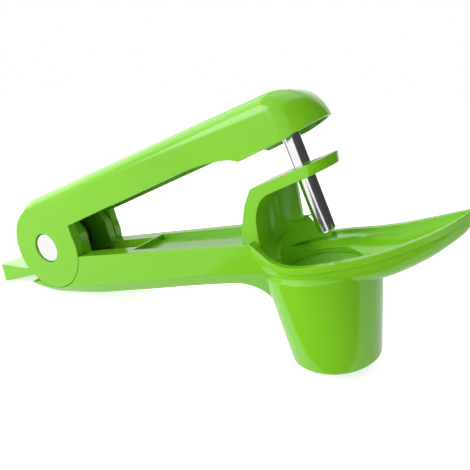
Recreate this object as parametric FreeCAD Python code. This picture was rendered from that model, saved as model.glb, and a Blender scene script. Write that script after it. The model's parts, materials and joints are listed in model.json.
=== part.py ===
import FreeCAD, Part
import math
import os
from FreeCAD import Vector

# Cherry pitter with lever, in millimetres.
# Modelled with the arm level: X runs forward along the arm, Y across it, Z up the cup's axis,
# origin on the hinge pin's axis. At the end it is laid on the table as it rests.

# Overall
HALF_W = 14.0          # half width of arm and lever
OPEN_DEG = 11.84       # lever against arm in the photographed pose
RUN_GAP = 0.05         # radial running clearance of the hinge
SIDE_GAP = 0.30        # clearance between faces of the two moving mouldings
CLOSE_DEG = 6.0        # travel of the lever down from that pose
LIFT_DEG = 6.5         # and up from it

# Hinge
LOBE_R = 18.7          # round lower end of the lever's ears
EAR_T = 3.8            # thickness of each of the lever's ears
INNER_EAR_R = 16.2     # arm's ears, inside the lever's hood
INNER_EAR_T = 3.9      # their thickness
PIN_R = 4.0            # shank
HEAD_R = 6.45          # polished head
HEAD_SEAT_R = 6.67     # its seat in the lever's ear
HEAD_T = 2.2
SEAT_DEPTH = 2.8
THREAD_R = 1.6
HEAD_EDGE_R = 0.5      # rounding of the heads
SLOT_W = 1.2           # screwdriver slot
SLOT_DEEP = 0.9

# Lever, heights measured square to its length
CREST_N = 22.4         # height of the top line over the hinge
CREST_FALL = 0.057     # fall of the top line per millimetre
CREST_EDGE_R = 5.0     # rounding along the top edges
BLOCK_LOW = -4.0       # lower side of the blank before the walls are trimmed
NOSE_FOOT_N = 1.5      # the nose's dome comes down to here at the front
UNDER_N = 4.9          # straight lower edge of the side walls
LEVER_WALL = 2.0
ROOF_T = 2.2
NOSE_WALL = 1.3
NOSE_DOME_R = 10.0     # rounding inside the top of the nose
SHOULDER_IN = 2.4      # step along the inside of the hood's top corners
SHOULDER_DOWN = 2.2
CHANNEL_X = 24.0       # the wide channel starts here, ahead of the ears
TAIL = [(-15.0, -3.5), (-18.9, -5.1), (-36.85, 1.6), (-40.1, -6.7), (-16.1, -8.9),
        (-12.0, -9.0)]

# Plunger
ROD_S = 117.6          # hinge to rod, along the lever
ROD_R = 3.03
ROD_TIP_N = -31.3
ROD_TIP_EDGE = 0.6
BOSS_R = 5.5
BOSS_LOW_N = 7.5

# Arm
DECK_Z = -5.0
RECESS_HALF = 9.9
RECESS_DEPTH = 2.1
RECESS_X0 = 45.5
ARM_WALL = 2.5
WELL_FLOOR_Z = -18.5    # floor of the spring's well between the ears
WELL_REAR_X = -12.0
LIP_TOP_Z = -15.6
ARM_END_X = 112.0

# Bowl
TIP_X = 163.4
BOWL_WALL = 2.0
BAND_H = 2.2
BAND_OUT = 0.45

# Cup and pocket
CUP_X = 117.6
CUP_BOTTOM_Z = -51.5
CUP_BOTTOM_R = 15.8
CUP_TOP_Z = -16.0
CUP_TOP_R = 20.3
CUP_WALL = 2.2
CUP_EDGE = 0.9         # bevel round the lower edge
CUP_SHOULDER = 1.2      # step under the bowl
FAIRING_R = 8.0        # curve from the arm's underside into the cup
POCKET_X = 118.5
POCKET_R = 14.0
POCKET_FLOOR_Z = -21.4
SEAT_T = 2.4
STONE_X = 119.6
STONE_R = 6.5

# Guard
GUARD_HALF = 10.5
GUARD_RUN = 11.5       # plate's round front end, ahead of the rod
GUARD_WALL_X = 110.8   # front edge of its wall on the far side
PLATE_T = 3.3
PLATE_DEG = 13.4
PLATE_X0 = 101.7
PLATE_Z0 = 12.4
PLATE_HOLE_GAP = 0.45  # round the rod, wherever it swings

# Spring between the arm's ears
COIL_R = 8.2
WIRE_R = 0.7
COIL_PITCH = 2.0       # at least, from turn to turn
COIL_SIDE_GAP = 0.8    # last turn to the ear beside it
SLEEVE_GAP = 0.25      # coil to the sleeve inside it
LEG_LOW = 20.0
LEG_HIGH = 13.0

os.makedirs("parts", exist_ok=True)


# Small helpers
def prism(points, y0, y1):
    """Solid between y0 and y1 with a straight-sided outline given as x, z points."""
    corners = [Vector(x, y0, z) for x, z in points]
    wire = Part.makePolygon(corners + [corners[0]])
    return Part.Face(wire).extrude(Vector(0, y1 - y0, 0))


def box(x0, x1, y0, y1, z0, z1):
    return Part.makeBox(x1 - x0, y1 - y0, z1 - z0, Vector(x0, y0, z0))


def across(radius, y0, y1, x=0.0, z=0.0):
    """Cylinder whose axis runs across the tool."""
    return Part.makeCylinder(radius, y1 - y0, Vector(x, y0, z), Vector(0, 1, 0))


def upright(radius, z0, z1, x, y=0.0):
    return Part.makeCylinder(radius, z1 - z0, Vector(x, y, z0), Vector(0, 0, 1))


def curve(points, x):
    """Value at x on the line drawn from point to point of an x, value list."""
    for (x0, v0), (x1, v1) in zip(points, points[1:]):
        if x <= x1:
            return v0 + (v1 - v0) * (x - x0) / (x1 - x0)
    return points[-1][1]


# Lever, built level in its own frame: X along the lever, Z square to it
def hood_block():
    """Outside of the hood behind the nose, its top edges rounded."""
    slope = math.atan(CREST_FALL)
    centre = (CREST_N - LOBE_R / math.cos(slope)) / (1 / math.cos(slope) + CREST_FALL)
    rear_r = LOBE_R + centre
    mid = math.pi * 0.75
    rear = Vector(-LOBE_R, -HALF_W, 0)
    half_way = Vector(centre + rear_r * math.cos(mid), -HALF_W, rear_r * math.sin(mid))
    top = Vector(centre + rear_r * math.sin(slope), -HALF_W, rear_r * math.cos(slope))
    far = Vector(ROD_S, -HALF_W, CREST_N - CREST_FALL * ROD_S)
    corners = [far, Vector(ROD_S, -HALF_W, BLOCK_LOW), Vector(LOBE_R, -HALF_W, BLOCK_LOW)]
    corners += [Vector(LOBE_R, -HALF_W, 0), rear]
    edges = [Part.Arc(rear, half_way, top).toShape(), Part.makeLine(top, far)]
    for a, b in zip(corners, corners[1:]):
        edges.append(Part.makeLine(a, b))
    block = Part.Face(Part.Wire(edges)).extrude(Vector(0, 2 * HALF_W, 0))
    crest = [e for e in block.Edges if e.BoundBox.XLength > 60 and e.BoundBox.ZMin > 10]
    block = block.makeFillet(CREST_EDGE_R, crest)
    return block.cut(rear_shaver(centre, rear_r))


def rear_shaver(centre, rear_r):
    """Takes the edges off behind the hinge, from the top down to the pin's height."""
    cutter = None
    for side in (-1, 1):
        ring = [(rear_r + 3, HALF_W + 3), (rear_r + 3, HALF_W - 3.2), (rear_r - 1.2, HALF_W + 3)]
        corners = [Vector(centre - r, side * y, -0.01) for r, y in ring]
        face = Part.Face(Part.makePolygon(corners + [corners[0]]))
        wedge = face.revolve(Vector(centre, 0, 0), Vector(0, 1, 0), 40)
        cutter = wedge if cutter is None else cutter.fuse(wedge)
    return cutter


def nose():
    """Boxy at the back, domed and half round in plan at the front."""
    wires = []
    for degrees in range(0, 89, 11):
        t = math.sin(math.radians(degrees))
        narrow = math.cos(math.radians(degrees))
        s = ROD_S + HALF_W * t
        half = (HALF_W - 0.02) * narrow
        top = NOSE_FOOT_N + (CREST_N - CREST_FALL * ROD_S - NOSE_FOOT_N - 0.02) * narrow
        wide_r = half * (CREST_EDGE_R / HALF_W + (1 - CREST_EDGE_R / HALF_W) * t * t * 0.9)
        high_r = CREST_EDGE_R * narrow + 9.0 * t * narrow
        wires.append(nose_section(s, half, top, wide_r, high_r))
    return Part.makeLoft(wires, True, False)


def nose_section(s, half, top, wide_r, high_r):
    """One cross-section of the nose: flat sides and top joined by two round corners."""
    count = 6
    sides = []
    for side in (-1, 1):
        arc = []
        for i in range(count + 1):
            a = math.pi / 2 * i / count
            y = half - wide_r + wide_r * math.cos(a)
            arc.append(Vector(s, side * y, top - high_r + high_r * math.sin(a)))
        sides.append(arc)
    left, right = sides
    right = right[::-1]
    low_left = Vector(s, -half, BLOCK_LOW)
    low_right = Vector(s, half, BLOCK_LOW)
    shares = [i / count for i in range(count + 1)]
    first = Part.BSplineCurve()
    first.interpolate(Points=left, Parameters=shares)
    second = Part.BSplineCurve()
    second.interpolate(Points=right, Parameters=shares)
    return Part.Wire([Part.makeLine(low_left, left[0]), first.toShape(),
                      Part.makeLine(left[-1], right[0]), second.toShape(),
                      Part.makeLine(right[-1], low_right), Part.makeLine(low_right, low_left)])


def under_cutter():
    """Everything below the lower edge of the side walls, with its finger curve."""
    line = [(LOBE_R, 0.0), (19.6, UNDER_N), (82.0, UNDER_N)]
    through = [(82.0, UNDER_N), (90.6, 4.3), (96.3, 3.4), (100.5, 2.3), (103.8, 0.5)]
    front = [(103.8, 0.5), (119.8, 1.1), (131.6, 2.9), (140.0, 4.2)]
    y0 = -HALF_W - 2
    pts = [Vector(x, y0, z) for x, z in line]
    edges = [Part.makeLine(a, b) for a, b in zip(pts, pts[1:])]
    finger = Part.BSplineCurve()
    finger.interpolate([Vector(x, y0, z) for x, z in through])
    edges.append(finger.toShape())
    rest = [Vector(x, y0, z) for x, z in front]
    rest += [Vector(140.0, y0, -12.0), Vector(LOBE_R, y0, -12.0), pts[0]]
    for a, b in zip(rest, rest[1:]):
        edges.append(Part.makeLine(a, b))
    return Part.Face(Part.Wire(edges)).extrude(Vector(0, 2 * HALF_W + 4, 0))


def hood_prism(half, roof, end_x):
    """Plain channel under the roof, with the roof's own curve behind the hinge."""
    slope = math.atan(CREST_FALL)
    centre = (CREST_N - LOBE_R / math.cos(slope)) / (1 / math.cos(slope) + CREST_FALL)
    rear_r = LOBE_R + centre - roof
    crest = CREST_N - roof / math.cos(slope)
    block = prism([(centre, -12), (end_x, -12), (end_x, crest - CREST_FALL * end_x),
                   (centre + rear_r * math.sin(slope), rear_r * math.cos(slope)),
                   (centre, rear_r)], -half, half)
    return block.fuse(across(rear_r, -half, half, centre))


def hood_hollow():
    """Hollow of the lever ahead of the ears: a stepped channel and a domed nose."""
    wide = HALF_W - LEVER_WALL
    side = hood_prism(wide, ROOF_T + SHOULDER_DOWN, ROD_S)
    channel = side.fuse(hood_prism(wide - SHOULDER_IN, ROOF_T, ROD_S))
    channel = channel.common(box(CHANNEL_X, 140, -HALF_W, HALF_W, -13, CREST_N))
    top = CREST_N - CREST_FALL * (ROD_S + 5) - ROOF_T
    dome = upright(HALF_W - NOSE_WALL, -12, top, ROD_S)
    rim = [e for e in dome.Edges if e.BoundBox.ZMin > top - 0.01]
    return channel.fuse(dome.makeFillet(NOSE_DOME_R, rim))


def upper_lever():
    """Hood, ears and tail as one hollow moulding."""
    hood = hood_block().fuse(nose()).cut(under_cutter())
    lobes = across(LOBE_R, -HALF_W, HALF_W)
    tail = prism(TAIL, -HALF_W, HALF_W)
    body = hood.fuse([lobes, tail])
    hollow = hood_hollow()
    inner = HALF_W - EAR_T
    narrow = hood_prism(inner, ROOF_T, CHANNEL_X + 1)
    narrow = narrow.common(box(-20, CHANNEL_X + 1, -inner, inner, 0, CREST_N))
    well = across(LOBE_R - ROOF_T, -inner, inner)
    open_low = prism([(0, 0), (-24.0, -13.3), (-24, -30), (30, -30), (30, 3), (0, 3)],
                     -inner, inner)
    body = body.cut(hollow.fuse([narrow, well, open_low]))
    boss = upright(BOSS_R, BOSS_LOW_N, crest_at_rod() - 1.0, ROD_S)
    body = body.fuse(boss)
    body = body.cut(upright(ROD_R, BOSS_LOW_N - 1, rod_top_n(), ROD_S))
    body = body.cut(across(PIN_R, -HALF_W - 1, HALF_W + 1))
    for side in (-1, 1):
        y0 = min(side * HALF_W, side * (HALF_W - SEAT_DEPTH))
        body = body.cut(across(HEAD_SEAT_R, y0, y0 + SEAT_DEPTH))
    return body.removeSplitter()


def crest_at_rod():
    return CREST_N - CREST_FALL * ROD_S


def rod_top_n():
    """Blind end of the rod's hole, just under the roof."""
    return crest_at_rod() - ROOF_T - 0.3


def plunger_rod():
    """Rod from the boss under the nose down to its bevelled tip."""
    rod = upright(ROD_R, ROD_TIP_N, rod_top_n(), ROD_S)
    tip = [e for e in rod.Edges if abs(e.BoundBox.ZMax - ROD_TIP_N) < 0.01]
    return rod.makeChamfer(ROD_TIP_EDGE, tip)


def hinge_post():
    """Polished head in the near ear, on a bored shank that both mouldings turn on."""
    head_y = -HALF_W + SEAT_DEPTH - HEAD_T
    seat_y = HALF_W - SEAT_DEPTH
    head = across(HEAD_R, head_y, head_y + HEAD_T)
    rim = [e for e in head.Edges if abs(e.BoundBox.YMax - head_y) < 0.01]
    head = head.makeFillet(HEAD_EDGE_R, rim)
    post = head.fuse(across(PIN_R, -seat_y, seat_y - 0.02))
    return post.cut(across(THREAD_R, 0, seat_y + 1)).removeSplitter()


def hinge_screw():
    """Slotted head in the far ear, its thread in the post."""
    seat_y = HALF_W - SEAT_DEPTH
    head = across(HEAD_R, seat_y, seat_y + HEAD_T)
    rim = [e for e in head.Edges if abs(e.BoundBox.YMin - seat_y - HEAD_T) < 0.01]
    head = head.makeFillet(HEAD_EDGE_R, rim)
    screw = head.fuse(across(THREAD_R - 0.02, 1.0, seat_y))
    slot_y = seat_y + HEAD_T - SLOT_DEEP
    slot = box(-HEAD_R, HEAD_R, slot_y, slot_y + SLOT_DEEP + 1, -SLOT_W / 2, SLOT_W / 2)
    return screw.cut(slot).removeSplitter()


# Fixed moulding, built with the arm level
BOTTOM = [(-18.5, -17.2), (-14.5, -19.6), (-4.7, -21.7), (11.6, -22.5), (33.0, -22.2),
          (55.0, -21.2), (74.0, -20.2), (91.0, -19.8), (ARM_END_X, -19.6)]
BEVEL_RISE = [(-18.5, 2.6), (-4.7, 3.3), (11.6, 4.0), (33.0, 4.8), (ARM_END_X, 4.6)]
RIM = [(99.4, 14.0, -5.1), (103.0, 15.0, -8.0), (106.5, 16.5, -10.2), (110.2, 18.0, -11.4),
       (117.0, 19.0, -11.9), (123.0, 18.6, -11.6), (130.0, 17.05, -11.15),
       (135.0, 15.6, -10.8), (140.0, 13.9, -10.1), (145.0, 11.9, -9.2), (150.0, 9.85, -8.0),
       (155.0, 7.2, -6.65), (158.0, 5.2, -5.6), (160.5, 3.1, -4.7), (162.3, 1.3, -3.9),
       (163.1, 0.5, -3.5)]
KEEL = [(99.4, -19.0), (117.0, -22.0), (138.0, -21.6), (142.0, -20.4), (147.0, -18.8),
        (151.0, -16.8), (156.6, -13.6), (160.5, -10.6), (162.3, -8.4), (163.1, -6.6)]


def arm_outside():
    """Arm with its bevelled underside, its front end sloped down into the bowl."""
    wires = []
    for x, low in BOTTOM:
        side = low + curve(BEVEL_RISE, x)
        ring = [(-HALF_W, DECK_Z), (HALF_W, DECK_Z), (HALF_W, side), (HALF_W - 3, low),
                (3 - HALF_W, low), (-HALF_W, side)]
        corners = [Vector(x, y, z) for y, z in ring]
        wires.append(Part.makePolygon(corners + [corners[0]]))
    arm = Part.makeLoft(wires, True, False)
    slope = [(99.4, DECK_Z), (103.0, -8.0), (106.5, -10.2), (ARM_END_X + 1, -12.5),
             (ARM_END_X + 1, 0), (99.4, 0)]
    arm = arm.cut(prism([(x, z - 0.3) for x, z in slope[:4]] + slope[4:], -20, 20))
    behind = box(-30, -9, -20, 20, LIP_TOP_Z, 5)
    return arm.cut(behind)


def hull_section(x, half, rim_z, depth, power):
    """One cross-section of the hull: level top line and a rounded, boxy or keeled belly."""
    count = 12
    points = []
    for i in range(count + 1):
        a = math.pi * i / count
        c = math.cos(a)
        y = math.copysign(abs(c) ** (2 / power), c) * half
        z = rim_z - depth * math.sin(a) ** (2 / power)
        points.append(Vector(x, y, z))
    belly = Part.BSplineCurve()
    belly.interpolate(Points=points, Parameters=[i / count for i in range(count + 1)])
    return Part.Wire([belly.toShape(), Part.makeLine(points[-1], points[0])])


def towards_tip(x):
    """0 up to the bowl's widest station, rising to 1 at the spout's tip."""
    return max(0.0, (x - POCKET_X) / (TIP_X - POCKET_X))


def hull():
    """Outside of the bowl and spout, under its rim."""
    wires = []
    for x, half, rim_z in RIM:
        power = 3.0 - 0.9 * towards_tip(x)
        wires.append(hull_section(x, half, rim_z, rim_z - curve(KEEL, x), power))
    return Part.makeLoft(wires, True, False)


def rim_band():
    """Raised band along the bowl's rim, tapering out towards the spout."""
    wires = []
    for x, half, rim_z in RIM:
        out = half + BAND_OUT * min(1.0, max(0.0, (x - 99.4) / 8.0)) * min(1.0, half / 6.0)
        ring = [(-out, rim_z), (out, rim_z), (out - 0.15, rim_z - BAND_H),
                (0.15 - out, rim_z - BAND_H)]
        corners = [Vector(x, y, z) for y, z in ring]
        wires.append(Part.makePolygon(corners + [corners[0]]))
    return Part.makeLoft(wires, True, False)


def bowl_hollow():
    """Inside of the bowl: falls steeply from the arm's end, shallow towards the spout."""
    floor = [(100.6, 1.4), (104.7, 3.0), (108.0, 5.6), (112.0, 7.2), (118.0, 8.2),
             (135.0, 8.3), (142.0, 8.0), (147.0, 7.4), (151.0, 6.6), (156.6, 5.0),
             (160.5, 3.4), (162.3, 2.0)]
    wires = []
    for x, half, rim_z in [(100.6, 13.9, -5.9)] + RIM[1:-1]:
        inside = max(0.5, half - BOWL_WALL * min(1.0, 0.4 + half / 20.0))
        power = 2.6 - 0.5 * towards_tip(x)
        wires.append(hull_section(x, inside, rim_z + 1.5, curve(floor, x) + 1.5, power))
    return Part.makeLoft(wires, True, False)


def cup_outside():
    """Tapered cup, turned from its half profile."""
    slope = (CUP_TOP_R - CUP_BOTTOM_R) / (CUP_TOP_Z - CUP_BOTTOM_Z)
    profile = [(0, CUP_BOTTOM_Z), (CUP_BOTTOM_R - CUP_EDGE, CUP_BOTTOM_Z),
               (CUP_BOTTOM_R, CUP_BOTTOM_Z + CUP_EDGE),
               (CUP_TOP_R - CUP_SHOULDER * slope, CUP_TOP_Z - CUP_SHOULDER),
               (CUP_TOP_R - 1.6, CUP_TOP_Z),
               (0, CUP_TOP_Z)]
    corners = [Vector(CUP_X + r, 0, z) for r, z in profile]
    face = Part.Face(Part.makePolygon(corners + [corners[0]]))
    return face.revolve(Vector(CUP_X, 0, 0), Vector(0, 0, 1), 360)


def cup_inside():
    """The cup's hollow, open below, up to the pocket's floor."""
    top = POCKET_FLOOR_Z - 2.2
    slope = (CUP_TOP_R - CUP_BOTTOM_R) / (CUP_TOP_Z - CUP_BOTTOM_Z)
    low_r = CUP_BOTTOM_R - CUP_WALL
    return Part.makeCone(low_r - slope, low_r + slope * (top - CUP_BOTTOM_Z) - 0.6,
                         top - CUP_BOTTOM_Z + 1, Vector(CUP_X, 0, CUP_BOTTOM_Z - 1),
                         Vector(0, 0, 1))


def cup_fairing():
    """Hollow curve that carries the arm's underside down into the back of the cup."""
    radius = FAIRING_R
    top_z = -18.0
    slope = (CUP_TOP_R - CUP_BOTTOM_R) / (CUP_TOP_Z - CUP_BOTTOM_Z)
    start = Vector(CUP_X - CUP_TOP_R - radius - 1.2, 0, -19.85)
    low_r = CUP_TOP_R - slope * (radius + 7)
    end = Vector(CUP_X - low_r, 0, CUP_TOP_Z - radius - 7)
    middle = Vector((start.x + 2 * end.x) / 3 - 0.2, 0, -23.2)
    edges = [Part.Arc(start, middle, end).toShape(),
             Part.makeLine(end, Vector(CUP_X - 8, 0, end.z)),
             Part.makeLine(Vector(CUP_X - 8, 0, end.z), Vector(CUP_X - 8, 0, top_z)),
             Part.makeLine(Vector(CUP_X - 8, 0, top_z), Vector(start.x, 0, top_z)),
             Part.makeLine(Vector(start.x, 0, top_z), start)]
    flare = Part.Face(Part.Wire(edges)).revolve(Vector(CUP_X, 0, 0), Vector(0, 0, 1), 360)
    ring = [(-HALF_W, -15.1), (HALF_W, -15.1), (HALF_W - 11.5, -33.5), (11.5 - HALF_W, -33.5)]
    corners = [Vector(80, y, z) for y, z in ring]
    wedge = Part.Face(Part.makePolygon(corners + [corners[0]])).extrude(Vector(34, 0, 0))
    return flare.common(wedge)


def between_ears():
    """Half the space between the arm's two ears."""
    return HALF_W - EAR_T - SIDE_GAP - INNER_EAR_T


def inner_ears():
    """The arm's two ears between the lever's, round behind and stepped in front."""
    ear_in = between_ears()
    ear_out = HALF_W - EAR_T - SIDE_GAP
    ears = []
    for y0 in (ear_in, -ear_out):
        y1 = y0 + ear_out - ear_in
        disc = across(INNER_EAR_R, y0, y1)
        front = prism([(0, -20.5), (18.3, -20.5), (18.3, 4.0), (15.5, 9.5), (8.0, 13.5), (0, 13.5)],
                      y0, y1)
        ears += [disc.common(box(-30, 30, -20, 20, -20.5, 30)), front]
    return ears


def guard():
    """C-shaped bracket: leg, sloping plate and a side wall on the far side only."""
    slope = math.tan(math.radians(PLATE_DEG))
    rod_x = rod_axis_x(PLATE_Z0 + 3)
    end_x = rod_x + GUARD_RUN + 2
    end_z = PLATE_Z0 + (end_x - PLATE_X0) * slope
    drop = PLATE_T / math.cos(math.radians(PLATE_DEG))
    outer = [(PLATE_X0, PLATE_Z0), (98.7, 7.5), (96.9, 2.6), (95.2, -2.5), (94.9, -13.0)]
    inner = [(101.4, -13.0), (101.3, -4.8), (101.5, 0.4), (102.8, 5.4), (105.2, 8.6), (108.6, 10.2)]
    at_y = [Vector(x, -GUARD_HALF, z) for x, z in outer + inner[:2]]
    edges = [Part.makeLine(p, q) for p, q in zip(at_y, at_y[1:])]
    bend = Part.BSplineCurve()
    bend.interpolate([Vector(x, -GUARD_HALF, z) for x, z in inner[1:]])
    edges.append(bend.toShape())
    tip = [inner[-1], (end_x, end_z - drop), (end_x, end_z), outer[0]]
    at_y = [Vector(x, -GUARD_HALF, z) for x, z in tip]
    edges += [Part.makeLine(p, q) for p, q in zip(at_y, at_y[1:])]
    frame = Part.Face(Part.Wire(edges)).extrude(Vector(0, 2 * GUARD_HALF, 0))
    corner = box(rod_x, end_x + 2, -20, 20, 0, 40).cut(upright(GUARD_RUN, -1, 41, rod_x))
    frame = frame.cut(corner)
    wall = prism([(99.0, 8.0), (GUARD_WALL_X, 12.0), (GUARD_WALL_X, -13.0), (99.0, -13.0)],
                 -0.8, GUARD_HALF)
    wall = wall.cut(upright(9.0, -20, 20, GUARD_WALL_X, -0.8))
    return frame.fuse([wall, pocket_bank()])


def pocket_bank():
    """Bank behind the pocket, higher on the far side, where it props the guard's wall."""
    across_it = [(-7.0, -13.0), (-3.0, -11.2), (1.7, -9.1), (5.4, -7.4), (9.3, -5.4), (12.2, -3.4),
                 (14.5, -12.0), (14.5, -13.0)]
    corners = [Vector(99, y, z) for y, z in across_it]
    bank = Part.Face(Part.makePolygon(corners + [corners[0]])).extrude(Vector(20, 0, 0))
    along_it = [(99.0, 0.0), (GUARD_WALL_X + 0.4, 0.0), (119.0, -12.0), (119.0, -14.0), (99.0, -14.0)]
    return bank.common(prism(along_it, -20, 20))


def rod_axis_x(z, extra_deg=0.0):
    """Where the rod's axis stands at height z, with the lever opened or closed further."""
    a = math.radians(OPEN_DEG + extra_deg)
    return ROD_S * math.cos(a) + (ROD_S * math.sin(a) - z) * math.tan(a)


def rod_slot():
    """Slot in the guard plate, as long as the leaning rod's swing needs at both its faces."""
    slope = math.tan(math.radians(PLATE_DEG))
    top = PLATE_Z0 + (rod_axis_x(PLATE_Z0) + ROD_R - PLATE_X0) * slope
    bottom = top - PLATE_T / math.cos(math.radians(PLATE_DEG)) - 2 * ROD_R * slope
    low = min(rod_axis_x(z, -CLOSE_DEG) for z in (bottom, top))
    high = max(rod_axis_x(z, LIFT_DEG) for z in (bottom, top))
    leaning_r = ROD_R / math.cos(math.radians(OPEN_DEG + LIFT_DEG)) - ROD_R
    r = ROD_R + PLATE_HOLE_GAP
    slot = upright(r, 5, 30, low).fuse(upright(r, 5, 30, high + leaning_r))
    return slot.fuse(box(low, high + leaning_r, -r, r, 5, 30))


def base_frame():
    """Arm, ears, bowl, cup and guard as one moulding, with everything that is cut out of it."""
    arm = arm_outside()
    gap = LOBE_R + SIDE_GAP
    for y0 in (-HALF_W - 2, HALF_W - EAR_T - SIDE_GAP):
        arm = arm.cut(across(gap, y0, y0 + EAR_T + SIDE_GAP + 2))
    arm = arm.cut(across(gap, -HALF_W, HALF_W).common(box(-30, -9, -20, 20, -30, 10)))
    body = arm.fuse(inner_ears())
    bowl = hull().fuse(rim_band())
    body = body.fuse([bowl, cup_outside(), cup_fairing()])
    ear_in = between_ears()
    cuts = [box(WELL_REAR_X, RECESS_X0 - 1, -ear_in, ear_in, WELL_FLOOR_Z, 5)]
    above_floor = box(-30, 30, -20, 20, WELL_FLOOR_Z, 30)
    cuts.append(across(INNER_EAR_R + 0.5, -ear_in, ear_in).common(above_floor))
    cuts.append(box(RECESS_X0, 97, -RECESS_HALF, RECESS_HALF, DECK_Z - RECESS_DEPTH, 0))
    hollow_top = DECK_Z - RECESS_DEPTH - ARM_WALL
    cuts.append(box(24, 93, ARM_WALL - HALF_W, HALF_W - ARM_WALL, -15.0, hollow_top))
    cuts.append(box(24, 93, 5 - HALF_W, HALF_W - 5, -17.4, -14.9))
    cuts.append(across(PIN_R + RUN_GAP, -HALF_W, HALF_W))
    body = body.cut(cuts)
    body = body.cut(bowl_hollow())
    floor_keep = guard().common(box(90, 140, -20, 20, -13.0, 40))
    body = body.fuse(floor_keep)
    body = body.cut(upright(POCKET_R, POCKET_FLOOR_Z, -3.8, POCKET_X))
    body = body.cut([upright(STONE_R + 1.5, POCKET_FLOOR_Z - 4, POCKET_FLOOR_Z + 1, STONE_X),
                     cup_inside(), rod_slot()])
    return body.removeSplitter()


def seat_ring():
    """Dished ring in the bottom of the pocket; the stone goes through its hole."""
    x0 = POCKET_X
    ring = upright(POCKET_R - 0.02, POCKET_FLOOR_Z, POCKET_FLOOR_Z + SEAT_T, x0)
    dish = Part.makeCone(STONE_R, 12.6, SEAT_T - 0.6,
                         Vector(STONE_X, 0, POCKET_FLOOR_Z + 0.6), Vector(0, 0, 1))
    hole = upright(STONE_R, POCKET_FLOOR_Z - 1, POCKET_FLOOR_Z + 1, STONE_X)
    return ring.cut([dish, hole]).removeSplitter()


def spring_sleeve():
    """Plain tube round the post, inside the coils."""
    half = between_ears() - SIDE_GAP / 2
    tube = across(COIL_R - WIRE_R - SLEEVE_GAP, -half, half)
    return tube.cut(across(PIN_R + RUN_GAP, -half - 1, half + 1))


def torsion_spring():
    """Close coil from the arm's leg to the lever's leg, one tube along quarter turns."""
    start_y = between_ears() - COIL_SIDE_GAP - WIRE_R
    whole_turns = math.floor(2 * start_y / COIL_PITCH - 0.49)
    steps = whole_turns * 4 + 2
    drop = 2 * start_y / steps

    def at(quarter):
        a = -math.pi / 2 - quarter * math.pi / 2
        return Vector(COIL_R * math.cos(a), start_y - drop * quarter, COIL_R * math.sin(a))

    first = at(0)
    edges = [Part.makeLine(first + Vector(LEG_LOW, 0, 0), first)]
    for k in range(steps):
        edges.append(Part.Arc(at(k), at(k + 0.5), at(k + 1)).toShape())
    last = at(steps)
    edges.append(Part.makeLine(last, last + Vector(LEG_HIGH, 0, 0)))
    path = Part.Wire(edges)
    ring = Part.Wire(Part.makeCircle(WIRE_R, first + Vector(LEG_LOW, 0, 0), Vector(-1, 0, 0)))
    shell = Part.BRepOffsetAPI.MakePipeShell(path)
    shell.add(ring)
    shell.build()
    shell.makeSolid()
    print("least gap between the spring's turns", round(least_gap(edges), 2), "mm")
    return shell.shape()


def least_gap(edges):
    """Least space between stretches of wire more than half a turn apart, on points along it."""
    points = []
    travelled = 0.0
    for edge in edges:
        run = edge.discretize(Number=13)
        for before, here in zip(run, run[1:]):
            travelled += here.distanceToPoint(before)
            points.append((travelled, here))
    half_turn = math.pi * COIL_R
    spaces = []
    for i, (way, p) in enumerate(points):
        spaces += [p.distanceToPoint(q) for other, q in points[i + 1:] if other - way > half_turn]
    return min(spaces) - 2 * WIRE_R


def rest_angle(shapes):
    """Tilt at which the tool stands on the back of the cup's edge and its rear end."""
    foot = FreeCAD.Vector(CUP_X - CUP_BOTTOM_R + CUP_EDGE, 0, CUP_BOTTOM_Z)
    lowest = 90.0
    for shape in shapes:
        for vertex in shape.Vertexes:
            p = vertex.Point
            if p.x < 60:
                lowest = min(lowest, math.degrees(math.atan2(p.z - foot.z, foot.x - p.x)))
    return lowest


moving = {"upper_lever": upper_lever(), "plunger_rod": plunger_rod()}
for name, shape in moving.items():
    shape.rotate(Vector(0, 0, 0), Vector(0, 1, 0), -OPEN_DEG)
nodes = {"base_frame": base_frame(), "seat_ring": seat_ring()}
nodes.update(moving)
nodes["hinge_post"] = hinge_post()
nodes["hinge_screw"] = hinge_screw()
nodes["spring_sleeve"] = spring_sleeve()
nodes["torsion_spring"] = torsion_spring()

tilt = rest_angle([nodes["upper_lever"], nodes["base_frame"]])
for shape in nodes.values():
    shape.rotate(Vector(0, 0, 0), Vector(0, 1, 0), -tilt)
whole = Part.Compound(list(nodes.values())).optimalBoundingBox(True, False)
shift = Vector(-whole.Center.x, 0, -whole.ZMin)
for name, shape in nodes.items():
    shape.translate(shift)
    shape.exportStep("parts/" + name + ".step")
    print(name, shape.isValid(), len(shape.Solids), round(shape.Volume, 1))
print("tilt", round(tilt, 3), "shift", shift, "size", whole.XLength, whole.YLength, whole.ZLength)
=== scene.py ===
# %% [markdown]
# # A green hand pitter with a lever
#
# The real tool is two glossy plastic mouldings, a steel rod and a steel hinge pin. Its shapes come
# ready from the imported frame, so this lesson is about finishes and light: how a shiny plastic and a
# polished metal are told apart, and how a bright white room is built without washing the colour out.
# The first cell brings the shapes in and keeps the box they fill.

# %% Load the frame
import json
import math
import bpy
from mathutils import Matrix, Vector


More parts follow.
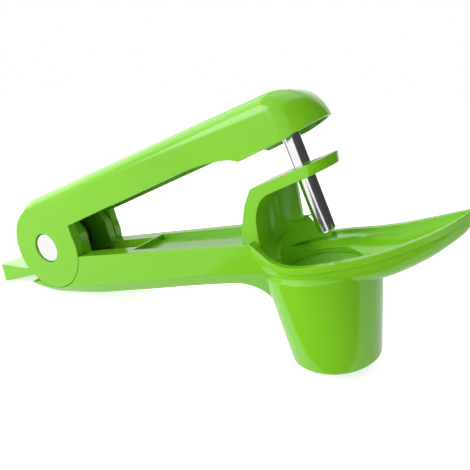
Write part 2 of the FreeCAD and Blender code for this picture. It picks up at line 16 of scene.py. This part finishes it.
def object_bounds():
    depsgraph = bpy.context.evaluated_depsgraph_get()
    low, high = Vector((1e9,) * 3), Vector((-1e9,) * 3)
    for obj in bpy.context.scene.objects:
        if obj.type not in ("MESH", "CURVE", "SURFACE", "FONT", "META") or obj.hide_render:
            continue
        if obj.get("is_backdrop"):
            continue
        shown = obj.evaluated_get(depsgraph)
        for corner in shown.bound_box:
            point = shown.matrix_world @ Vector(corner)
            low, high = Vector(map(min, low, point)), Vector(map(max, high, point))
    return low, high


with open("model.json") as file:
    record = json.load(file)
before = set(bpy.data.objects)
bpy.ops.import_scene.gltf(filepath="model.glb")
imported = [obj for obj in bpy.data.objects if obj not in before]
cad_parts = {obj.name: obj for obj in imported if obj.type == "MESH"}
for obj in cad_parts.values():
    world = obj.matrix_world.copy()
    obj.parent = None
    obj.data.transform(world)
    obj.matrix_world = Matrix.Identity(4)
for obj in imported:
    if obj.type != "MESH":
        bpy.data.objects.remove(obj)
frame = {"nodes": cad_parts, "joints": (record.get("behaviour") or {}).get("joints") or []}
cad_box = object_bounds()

pieces = frame["nodes"]
print("pieces in the frame:", sorted(pieces))

# %% [markdown]
# ## Sizes and the pivot
#
# Blender works in metres, and so does the frame. The lever turns about the hinge pin, and the pin's
# place could be typed in, but it is read from the frame's only joint, so it can't be wrong. The box
# round the whole tool gives the middle, which the lamps are aimed at, and the lowest point, which
# the floor lies under.

# %% The hinge and the size of the whole tool
MM = 0.001
hinge = Vector(frame["joints"][0]["pos_m"])
low, high = [Vector(corner) for corner in cad_box]
middle = (low + high) / 2
length = high.x - low.x
print("length over all", round(length / MM, 1), "mm, hinge", round(hinge.z / MM, 1), "mm up")

# %% [markdown]
# ## Green plastic: two blank finishes
#
# The arm with its bowl and cup is one moulding and the lever another. Both are dyed green right
# through and glossy from a polished mould. The seat in the bowl's pocket is a darker, duller green.
# A finish in Blender is a small graph of nodes that ends in one shader. One flat colour would do for
# a diagram, but a real moulding is never that even. So each green starts blank here, and gets its
# dye, its shine, its surface and its depth one after another.

# %% Two blank greens
def blank_finish(name):
    finish = bpy.data.materials.new(name)
    finish.use_nodes = True
    return finish


def shader_of(finish):
    return finish.node_tree.nodes["Principled BSDF"]


body_green = blank_finish("green_plastic")
seat_green = blank_finish("seat_green")
print("blank so far:", body_green.name, "and", seat_green.name)

# %% [markdown]
# ## Green plastic: the grain that everything is varied by
#
# Dye, shine and surface all drift a little over a real moulding. The drift could be painted on an
# image, but then each piece would have to be unwrapped. Noise needs no unwrapping. It is read in the
# piece's own space, so it stays put when the lever swings. The scale is written as patches in a
# metre, which makes 18 mean clouds about 56 mm across.

# %% Slow clouds for the dye
CLOUDS_PER_M = 18
CLOUD_DETAIL = 2


def grain(finish, per_metre, detail, stretch=(1, 1, 1)):
    """Noise tied to the piece; a stretch above 1 packs it closer along that axis."""
    tree = finish.node_tree
    place = tree.nodes.new("ShaderNodeTexCoord")
    mapping = tree.nodes.new("ShaderNodeMapping")
    mapping.inputs["Scale"].default_value = stretch
    noise = tree.nodes.new("ShaderNodeTexNoise")
    noise.inputs["Scale"].default_value = per_metre
    noise.inputs["Detail"].default_value = detail
    tree.links.new(place.outputs["Object"], mapping.inputs["Vector"])
    tree.links.new(mapping.outputs["Vector"], noise.inputs["Vector"])
    return noise.outputs["Fac"]


body_clouds = grain(body_green, CLOUDS_PER_M, CLOUD_DETAIL)
seat_clouds = grain(seat_green, CLOUDS_PER_M, CLOUD_DETAIL)
print("dye clouds are about", round(1 / CLOUDS_PER_M / MM), "mm across")

# %% [markdown]
# ## Green plastic: the dye
#
# The green leans to yellow and has almost no blue in it, and it drifts by about a tenth between its
# deep and its pale patches. Two greens could be mixed by a Mix node. A colour ramp is chosen because
# it also says where on the noise the drift begins and ends, so most of the surface lies between.

# %% Deep and pale green
BODY_DEEP = (0.188, 0.530, 0.011)
BODY_PALE = (0.220, 0.594, 0.016)
SEAT_DEEP = (0.120, 0.400, 0.010)
SEAT_PALE = (0.150, 0.460, 0.014)
DYE_FROM = 0.3
DYE_TO = 0.7


def dye(finish, drift, deep, pale, start=DYE_FROM, end=DYE_TO):
    """Colour the finish from deep to pale as the drift goes from start to end."""
    tree = finish.node_tree
    ramp = tree.nodes.new("ShaderNodeValToRGB")
    first, last = ramp.color_ramp.elements
    first.position = start
    first.color = (*deep, 1)
    last.position = end
    last.color = (*pale, 1)
    tree.links.new(drift, ramp.inputs["Fac"])
    tree.links.new(ramp.outputs["Color"], shader_of(finish).inputs["Base Color"])


dye(body_green, body_clouds, BODY_DEEP, BODY_PALE)
dye(seat_green, seat_clouds, SEAT_DEEP, SEAT_PALE)
print("the pale patches are", round(BODY_PALE[1] / BODY_DEEP[1], 2), "times as green as the deep")

# %% [markdown]
# ## Green plastic: the shine
#
# The outside of a polished moulding mirrors its surroundings with soft edges. A roughness near 0.14
# gives that. Held at one value it would look like wet paint, so it sways a little with patches about
# 4 mm across, as handling leaves them. The seat's roughness is higher, because a part that nobody
# sees is seldom polished.

# %% A shine that sways
BODY_GLOSS = 0.14
SEAT_GLOSS = 0.26
GREEN_SWAY = 0.05
TOUCHES_PER_M = 240
TOUCH_DETAIL = 3
NOISE_LOW = 0.3
NOISE_HIGH = 0.7


def shine(finish, drift, gloss, sway):
    """Let the roughness sway from gloss to gloss + sway over the usual reach of the noise."""
    tree = finish.node_tree
    scaled = tree.nodes.new("ShaderNodeMapRange")
    scaled.inputs["From Min"].default_value = NOISE_LOW
    scaled.inputs["From Max"].default_value = NOISE_HIGH
    scaled.inputs["To Min"].default_value = gloss
    scaled.inputs["To Max"].default_value = gloss + sway
    tree.links.new(drift, scaled.inputs["Value"])
    tree.links.new(scaled.outputs["Result"], shader_of(finish).inputs["Roughness"])


for green, gloss in ((body_green, BODY_GLOSS), (seat_green, SEAT_GLOSS)):
    shine(green, grain(green, TOUCHES_PER_M, TOUCH_DETAIL), gloss, GREEN_SWAY)
    print(green.name, "sways in roughness from", gloss, "to", round(gloss + GREEN_SWAY, 2))

# %% [markdown]
# ## Green plastic: the surface
#
# Plastic shrinks unevenly as it cools, so a large flat wall is never quite flat and bends long
# reflections. That could be sculpted into the mesh, but so low a swell shows only in the light. A
# Bump node makes it there and leaves the exact shape alone.

# %% The swell of both greens
SWELLS_PER_M = 45
SWELL_DETAIL = 1
SWELL_STRENGTH = 0.12
SWELL_DEPTH = 0.25 * MM


def ripple(finish, height, strength, depth):
    """Tilt the surface by a noise value, as if it stood up to depth metres high."""
    tree = finish.node_tree
    bump = tree.nodes.new("ShaderNodeBump")
    bump.inputs["Strength"].default_value = strength
    bump.inputs["Distance"].default_value = depth
    tree.links.new(height, bump.inputs["Height"])
    tree.links.new(bump.outputs["Normal"], shader_of(finish).inputs["Normal"])
    return bump


body_swell = ripple(
    body_green, grain(body_green, SWELLS_PER_M, SWELL_DETAIL), SWELL_STRENGTH, SWELL_DEPTH)
seat_swell = ripple(
    seat_green, grain(seat_green, SWELLS_PER_M, SWELL_DETAIL), SWELL_STRENGTH, SWELL_DEPTH)
print("swells are about", round(1 / SWELLS_PER_M / MM), "mm across")

# %% [markdown]
# ## Green plastic: the edges
#
# No edge of a moulding is quite sharp, because the corners of its mould are a little round, and a
# thin line of light runs along each. A Bevel modifier would cut them into the mesh, but the shapes
# come from the frame and aren't changed. The Bevel node only shades every edge as if it had a small
# radius, and the swell is laid over what it gives.

# %% Soft edges
MOULD_EDGE_R = 0.4 * MM
EDGE_SAMPLES = 6


def soften_edges(finish, swell, radius):
    tree = finish.node_tree
    rounded = tree.nodes.new("ShaderNodeBevel")
    rounded.samples = EDGE_SAMPLES
    rounded.inputs["Radius"].default_value = radius
    tree.links.new(rounded.outputs["Normal"], swell.inputs["Normal"])


soften_edges(body_green, body_swell, MOULD_EDGE_R)
soften_edges(seat_green, seat_swell, MOULD_EDGE_R)
print("edges are shaded with a radius of", round(MOULD_EDGE_R / MM, 2), "mm")

# %% [markdown]
# ## Green plastic: light inside the wall
#
# A little light goes into the plastic, travels inside and comes out again, which fills the shadows
# with green. A lighter colour would wash the lit sides out as well, so it is done the way the real
# plastic does it, with subsurface scattering. Green travels farthest here and blue hardly at all,
# and the reach stays under the two millimetres that the walls usually measure.

# %% Depth for both greens
PLASTIC_IOR = 1.5
INNER_LIGHT = 0.08
INNER_REACH = 1.5 * MM
REACH_BY_COLOUR = (0.5, 1.0, 0.15)

for green in (body_green, seat_green):
    sockets = shader_of(green).inputs
    sockets["IOR"].default_value = PLASTIC_IOR
    sockets["Subsurface Weight"].default_value = INNER_LIGHT
    sockets["Subsurface Scale"].default_value = INNER_REACH
    sockets["Subsurface Radius"].default_value = REACH_BY_COLOUR
    print(green.name, "lets green light travel", round(INNER_REACH / MM, 1), "mm")

# %% [markdown]
# ## Steel: what all three have in common
#
# The rod, the hinge's pin and its spring are steel. A metal has no colour under its reflection, so
# its look is nearly all roughness and the fine lines that its working left. The lines could be cut
# as grooves, but they are far finer than any mesh. One noise stands for them and serves the tint,
# the shine and the surface together, so that the three agree with each other as they do on metal.

# %% The recipe for steel
LINE_DETAIL = 4
LINE_SHADE = 0.93
TINT_FROM = 0.25
TINT_TO = 0.75
STEEL_SWAY = 0.07
LINE_STRENGTH = 0.2


def steel(name, colour, gloss, lines_per_metre, stretch, depth):
    finish = blank_finish(name)
    lines = grain(finish, lines_per_metre, LINE_DETAIL, stretch)
    shaded = [part * LINE_SHADE for part in colour]
    dye(finish, lines, shaded, colour, TINT_FROM, TINT_TO)
    shine(finish, lines, gloss, STEEL_SWAY)
    ripple(finish, lines, LINE_STRENGTH, depth)
    shader_of(finish).inputs["Metallic"].default_value = 1.0
    return finish


print("its lines darken steel by", round(100 * (1 - LINE_SHADE)), "per cent")

# %% [markdown]
# ## The rod: ground and polished
#
# The rod's lines run round it, because it was ground while it turned. A few rings could be drawn
# with a Wave node, but they would be evenly spaced, and ground steel is not. The noise is packed
# thirty times closer along the height instead, which draws it out into uneven rings.

# %% Rod steel
ROD_COLOUR = (0.97, 0.97, 0.98)
ROD_GLOSS = 0.08
ROD_LINES_PER_M = 60
ROD_LINES_STRETCH = (1, 1, 30)
POLISH_DEPTH = 0.01 * MM

rod_steel = steel("rod_steel", ROD_COLOUR, ROD_GLOSS, ROD_LINES_PER_M, ROD_LINES_STRETCH, POLISH_DEPTH)
print("made", rod_steel.name, "with a roughness from", ROD_GLOSS)

# %% [markdown]
# ## The hinge pin and the spring: two more steels
#
# The pin's round head shows as a bright disc in the lever's side. It was polished flat, so its grain
# is very fine and the same in every direction across the face. The spring's wire was drawn and never
# polished, so it is darker and duller. Both use the rod's recipe with other numbers, because what
# sets steels apart is how they were worked and not what they are made of.

# %% Pin steel and spring steel
PIN_COLOUR = (0.99, 0.98, 0.99)
PIN_GLOSS = 0.10
PIN_GRAIN_PER_M = 900
PIN_STRETCH = (1, 0.05, 1)
WIRE_COLOUR = (0.42, 0.42, 0.43)
WIRE_GLOSS = 0.28
WIRE_GRAIN_PER_M = 300
WIRE_STRETCH = (1, 1, 1)
WIRE_DEPTH = 0.02 * MM

pin_steel = steel("pin_steel", PIN_COLOUR, PIN_GLOSS, PIN_GRAIN_PER_M, PIN_STRETCH, POLISH_DEPTH)
spring_steel = steel("spring_steel", WIRE_COLOUR, WIRE_GLOSS, WIRE_GRAIN_PER_M, WIRE_STRETCH, WIRE_DEPTH)
print("made", pin_steel.name, "and the duller", spring_steel.name)

# %% [markdown]
# ## The spring's sleeve: near-black, as painted shade
#
# Deep in the hinge a sleeve carries the spring. Little light gets there, and the sleeve's near-black
# colour paints that shade onto it. A matt grain catches what light there is and lets the barrel read as
# round.

# %% Sleeve painted near-black as shade
# The near-black colours paint the shade deep inside the hinge onto the sleeve.
SLEEVE_SHADE_DEEP = (0.010, 0.022, 0.006)
SLEEVE_SHADE_PALE = (0.018, 0.036, 0.010)
SLEEVE_GRAIN_PER_M = 700
SLEEVE_DETAIL = 3
SLEEVE_GLOSS = 0.45
SLEEVE_SWAY = 0.15
SLEEVE_STRENGTH = 0.3
SLEEVE_DEPTH = 0.03 * MM

sleeve_painted_shade = blank_finish("sleeve_painted_shade")
matt_grain = grain(sleeve_painted_shade, SLEEVE_GRAIN_PER_M, SLEEVE_DETAIL)
dye(sleeve_painted_shade, matt_grain, SLEEVE_SHADE_DEEP, SLEEVE_SHADE_PALE)
shine(sleeve_painted_shade, matt_grain, SLEEVE_GLOSS, SLEEVE_SWAY)
ripple(sleeve_painted_shade, matt_grain, SLEEVE_STRENGTH, SLEEVE_DEPTH)
print("made", sleeve_painted_shade.name)

# %% [markdown]
# ## Dress the pieces
#
# The tool has eight pieces: two mouldings, the seat, the rod, and the post, screw, spring and sleeve
# of the hinge. Their shapes could be built again here, but the frame's are exact, so each piece
# keeps its own and only its material slot is filled.

# %% Give each piece its finish
finishes = {
    "base_frame": body_green,
    "upper_lever": body_green,
    "seat_ring": seat_green,
    "plunger_rod": rod_steel,
    "hinge_post": pin_steel,
    "hinge_screw": pin_steel,
    "torsion_spring": spring_steel,
    # The sleeve's near-black finish is painted shade.
    "spring_sleeve": sleeve_painted_shade,
}
for name, finish in finishes.items():
    slots = pieces[name].material_slots
    for slot in slots:
        slot.material = finish
    if not slots:
        pieces[name].data.materials.append(finish)
    print(name, "is", finish.name)

# %% [markdown]
# ## A white room: the switch
#
# The tool is shown against pure white, yet its own light has to stay gentle or the green would wash
# out. More light would whiten the room and the tool together. The Light Path node parts the two: it
# tells what kind of ray has arrived. Rays from the camera, and rays that a shiny or clear surface
# sends on, meet plain white. Every other ray, which is the light itself, meets the real surface.

# %% One switch for the floor and the sky
WHITE = (1, 1, 1, 1)
WHITE_STRENGTH = 1.0


def switch_to_white(tree, own_shader, white_shader, output):
    """White for rays that are looked along, the surface's own shader for rays that carry light."""
    path = tree.nodes.new("ShaderNodeLightPath")
    looked_along = path.outputs["Is Camera Ray"]
    for kind in ("Is Glossy Ray", "Is Transmission Ray"):
        either = tree.nodes.new("ShaderNodeMath")
        either.operation = "MAXIMUM"
        tree.links.new(looked_along, either.inputs[0])
        tree.links.new(path.outputs[kind], either.inputs[1])
        looked_along = either.outputs[0]
    mix = tree.nodes.new("ShaderNodeMixShader")
    tree.links.new(looked_along, mix.inputs["Fac"])
    tree.links.new(own_shader.outputs[0], mix.inputs[1])
    tree.links.new(white_shader.outputs[0], mix.inputs[2])
    tree.links.new(mix.outputs[0], output.inputs["Surface"])


print("white is shown at strength", WHITE_STRENGTH)

# %% [markdown]
# ## A white room: the sky
#
# The sky stands for the white walls and ceiling of a room, which light the tool a little from every
# side. Walls could be built, but they would be in the way of other views. The world's background
# does the same with two strengths: a modest one that gives light, and the plain white that is seen.

# %% The sky
SKY_LIGHT = 0.38

white_sky = bpy.data.worlds.new("white_sky")
bpy.context.scene.world = white_sky
white_sky.use_nodes = True
sky_tree = white_sky.node_tree
sky_light = sky_tree.nodes["Background"]
sky_light.inputs["Color"].default_value = WHITE
sky_light.inputs["Strength"].default_value = SKY_LIGHT
sky_seen = sky_tree.nodes.new("ShaderNodeBackground")
sky_seen.inputs["Color"].default_value = WHITE
sky_seen.inputs["Strength"].default_value = WHITE_STRENGTH
switch_to_white(sky_tree, sky_light, sky_seen, sky_tree.nodes["World Output"])
print("the sky lights the tool at strength", SKY_LIGHT)

# %% [markdown]
# ## A white room: the floor
#
# The tool rests on the back of its cup's rim and on the lever's tail. A curved backdrop could be
# built behind it, but one wide sheet is enough where the sky is white too. The sheet is pale paper,
# dull enough not to mirror the cup. It lies just below the tool, because two surfaces that share a
# plane show as speckles.

# %% The floor
FLOOR_SIZE = 30 * length
FLOOR_DROP = 0.2 * MM
PAPER_COLOUR = (0.93, 0.93, 0.93, 1)
PAPER_ROUGHNESS = 0.6

bpy.ops.mesh.primitive_plane_add(size=FLOOR_SIZE, location=(0, 0, low.z - FLOOR_DROP))
floor = bpy.context.object
floor.name = "floor"
pale_floor = blank_finish("pale_floor")
paper = shader_of(pale_floor)
paper.inputs["Base Color"].default_value = PAPER_COLOUR
paper.inputs["Roughness"].default_value = PAPER_ROUGHNESS
floor.data.materials.append(pale_floor)
floor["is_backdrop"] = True
print("floor at", round(floor.location.z / MM, 2), "mm")

# %% [markdown]
# ## A white room: what the tool mirrors
#
# The glossy plastic and the steel mirror the floor under them. Mirrored as lit paper it would be
# grey at some distance from the lamps. It goes through the same switch as the sky instead, so what
# they mirror is one even white from the floor to the ceiling.

# %% Switch the floor
def glowing(tree, strength):
    glow = tree.nodes.new("ShaderNodeEmission")
    glow.inputs["Color"].default_value = WHITE
    glow.inputs["Strength"].default_value = strength
    return glow


floor_tree = pale_floor.node_tree
floor_output = floor_tree.nodes["Material Output"]
switch_to_white(floor_tree, paper, glowing(floor_tree, WHITE_STRENGTH), floor_output)
print("the floor has", len(floor_tree.nodes), "nodes")

# %% [markdown]
# ## A white room: the shadow
#
# A floor shown as plain white loses the shadow, and the tool would seem to float. A soft grey patch
# could be painted under it, but it would not follow the lever. So for the camera alone the floor is
# lit paper with a glow added. Where the paper is open the two together are white, and only the
# shadow under the tool falls below that.

# %% Keep the shadow
FLOOR_GLOW = 0.66


def keep_shadow(tree, paper, output):
    """Show the camera the lit paper with a glow added, and leave other rays as they were."""
    lit_and_glowing = tree.nodes.new("ShaderNodeAddShader")
    tree.links.new(paper.outputs[0], lit_and_glowing.inputs[0])
    tree.links.new(glowing(tree, FLOOR_GLOW).outputs[0], lit_and_glowing.inputs[1])
    path = tree.nodes.new("ShaderNodeLightPath")
    for_camera = tree.nodes.new("ShaderNodeMixShader")
    as_before = output.inputs["Surface"].links[0].from_socket
    tree.links.new(path.outputs["Is Camera Ray"], for_camera.inputs["Fac"])
    tree.links.new(as_before, for_camera.inputs[1])
    tree.links.new(lit_and_glowing.outputs[0], for_camera.inputs[2])
    tree.links.new(for_camera.outputs[0], output.inputs["Surface"])


keep_shadow(floor_tree, paper, floor_output)
print("for the camera the floor glows at", FLOOR_GLOW)

# %% [markdown]
# ## Lamps
#
# A small bare lamp would give smooth plastic a hard white spot. Large soft lamps give it the slow
# shading that it is usually photographed with, so all three are two to four times as long as the
# tool. One stands low on the near left and models the side walls. One behind the hinge draws the
# pale line along the lever's rounded top edges. A weak one overhead keeps the bowl from going dull.

# %% Three soft lamps
def soft_lamp(name, place, side, power):
    """A square lamp of a given side in metres and power in watts, aimed at the tool's middle."""
    light = bpy.data.lights.new(name, "AREA")
    light.shape = "SQUARE"
    light.size = side
    light.energy = power
    lamp = bpy.data.objects.new(name, light)
    lamp.location = place
    lamp.rotation_euler = (middle - Vector(place)).to_track_quat("-Z", "Y").to_euler()
    bpy.context.scene.collection.objects.link(lamp)
    reach = (lamp.location - middle).length
    print(name, "stands", round(reach, 2), "m away at", power, "W")


soft_lamp("near_left", place=(-0.30, -0.55, 0.30), side=0.45, power=3.2)
soft_lamp("behind_hinge", place=(-0.60, 0.06, 0.38), side=0.75, power=2.7)
soft_lamp("overhead", place=(0.05, 0.15, 0.70), side=0.50, power=0.9)

# %% [markdown]
# ## Black for the cards
#
# Polished steel shows only what stands around it, and in an all-white room it would vanish. A
# photographer puts up black cards for that, and so does this scene. Their black isn't quite zero and
# has no shine, as with real card.

# %% Card black
CARD_BLACK = (0.02, 0.02, 0.02, 1)
CARD_ROUGHNESS = 0.9

card_black = blank_finish("card_black")
card_paint = shader_of(card_black)
card_paint.inputs["Base Color"].default_value = CARD_BLACK
card_paint.inputs["Roughness"].default_value = CARD_ROUGHNESS
print("made", card_black.name)

# %% [markdown]
# ## A card for the rod
#
# The rod is bright on its left side and dark on its right. Darker steel would not give that,
# because then its bright side would be grey too. So a card stands beyond the spout, where the rod's
# right side mirrors it and its left side doesn't. The camera can't see it, and it takes no light
# away.

# %% Stand a card beyond the spout
CARD_STANDS_AT = 0.24
STANDING_CARD_Y = -0.04
STANDING_CARD_BOTTOM = 0.06
STANDING_CARD_TOP = 0.62
STANDING_CARD_LENGTH = 1.0
UPRIGHT = math.radians(-90)


def black_card(name, place, width, card_length, turn):
    """A card width metres across x and card_length along y, then turned about y."""
    bpy.ops.mesh.primitive_plane_add(size=1, location=place)
    card = bpy.context.object
    card.name = name
    card.scale = (width, card_length, 1)
    card.rotation_euler = (0, turn, 0)
    card.data.materials.append(card_black)
    card.visible_camera = False
    card.visible_diffuse = False
    card.visible_shadow = False
    card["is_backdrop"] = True


card_middle = (CARD_STANDS_AT, STANDING_CARD_Y, (STANDING_CARD_BOTTOM + STANDING_CARD_TOP) / 2)
card_height = STANDING_CARD_TOP - STANDING_CARD_BOTTOM
black_card("standing_card", card_middle, card_height, STANDING_CARD_LENGTH, UPRIGHT)
print("the standing card is", round((CARD_STANDS_AT - high.x) / MM), "mm beyond the spout")

# %% [markdown]
# ## A second card for the cup
#
# The cup leans outward as it rises, so it mirrors the floor before it, and white paper lays a milky
# veil over its green. A deeper dye would darken the rest of the tool too. A card that lies before
# the cup takes that reflection off and leaves the light as it is.

# %% Lay the second card before the cup
LYING_CARD_X = 0.12
LYING_CARD_Y = -0.22
LYING_CARD_LIFT = 0.1 * MM
LYING_CARD_WIDTH = 0.26
LYING_CARD_LENGTH = 0.40
FLAT = 0

lying_card_at = (LYING_CARD_X, LYING_CARD_Y, low.z + LYING_CARD_LIFT)
black_card("lying_card", lying_card_at, LYING_CARD_WIDTH, LYING_CARD_LENGTH, FLAT)
print("the lying card covers", LYING_CARD_WIDTH, "by", LYING_CARD_LENGTH, "m")

# %% [markdown]
# ## The camera's lens
#
# The tool was photographed from close by: the spout, which is nearer to the lens, looks much larger
# than the hinge. A long lens from far off would draw both at one scale, so the lens is a wide one.
# Its focal length was found in the picture's own pixels and is turned here into millimetres.

# %% A wide lens
FOCAL_PX = 399.9
FRAME_PX = 470
SENSOR_WIDTH = 36.0
NEAREST = 0.01

lens = bpy.data.cameras.new("camera")
lens.sensor_width = SENSOR_WIDTH
lens.sensor_fit = "HORIZONTAL"
lens.lens = SENSOR_WIDTH * FOCAL_PX / FRAME_PX
lens.clip_start = NEAREST
print("lens", round(lens.lens, 2), "mm")

# %% [markdown]
# ## The camera's place
#
# The camera stands at the front right, about a hand's length from the tool, and looks back and a
# little down on the bowl. A camera looks along its own minus Z, so its Z axis points back from the
# tool to the lens. It could be aimed with a Track To constraint, but the axes are written out here,
# because they were worked out together from the tool's own straight edges.

# %% Place the camera
CAMERA_PLACE = Vector((81.8, -125.1, 93.2)) * MM
CAMERA_BACK = Vector((0.40014, -0.84511, 0.35452))
CAMERA_UP = Vector((-0.16656, 0.31333, 0.93492))

camera = bpy.data.objects.new("camera", lens)
back = CAMERA_BACK.normalized()
right = CAMERA_UP.cross(back).normalized()
up = back.cross(right)
axes = Matrix((right, up, back)).transposed().to_4x4()
camera.matrix_world = Matrix.Translation(CAMERA_PLACE) @ axes
bpy.context.scene.collection.objects.link(camera)
bpy.context.scene.camera = camera
bpy.context.scene.view_settings.view_transform = "Standard"
hinge_away = (CAMERA_PLACE - hinge).length
print("the hinge is", round(hinge_away / MM), "mm from the camera")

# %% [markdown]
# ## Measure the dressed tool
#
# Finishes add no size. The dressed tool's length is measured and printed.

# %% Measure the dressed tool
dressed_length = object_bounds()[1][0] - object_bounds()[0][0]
print("dressed, the tool is", round(dressed_length / MM, 1), "mm long")
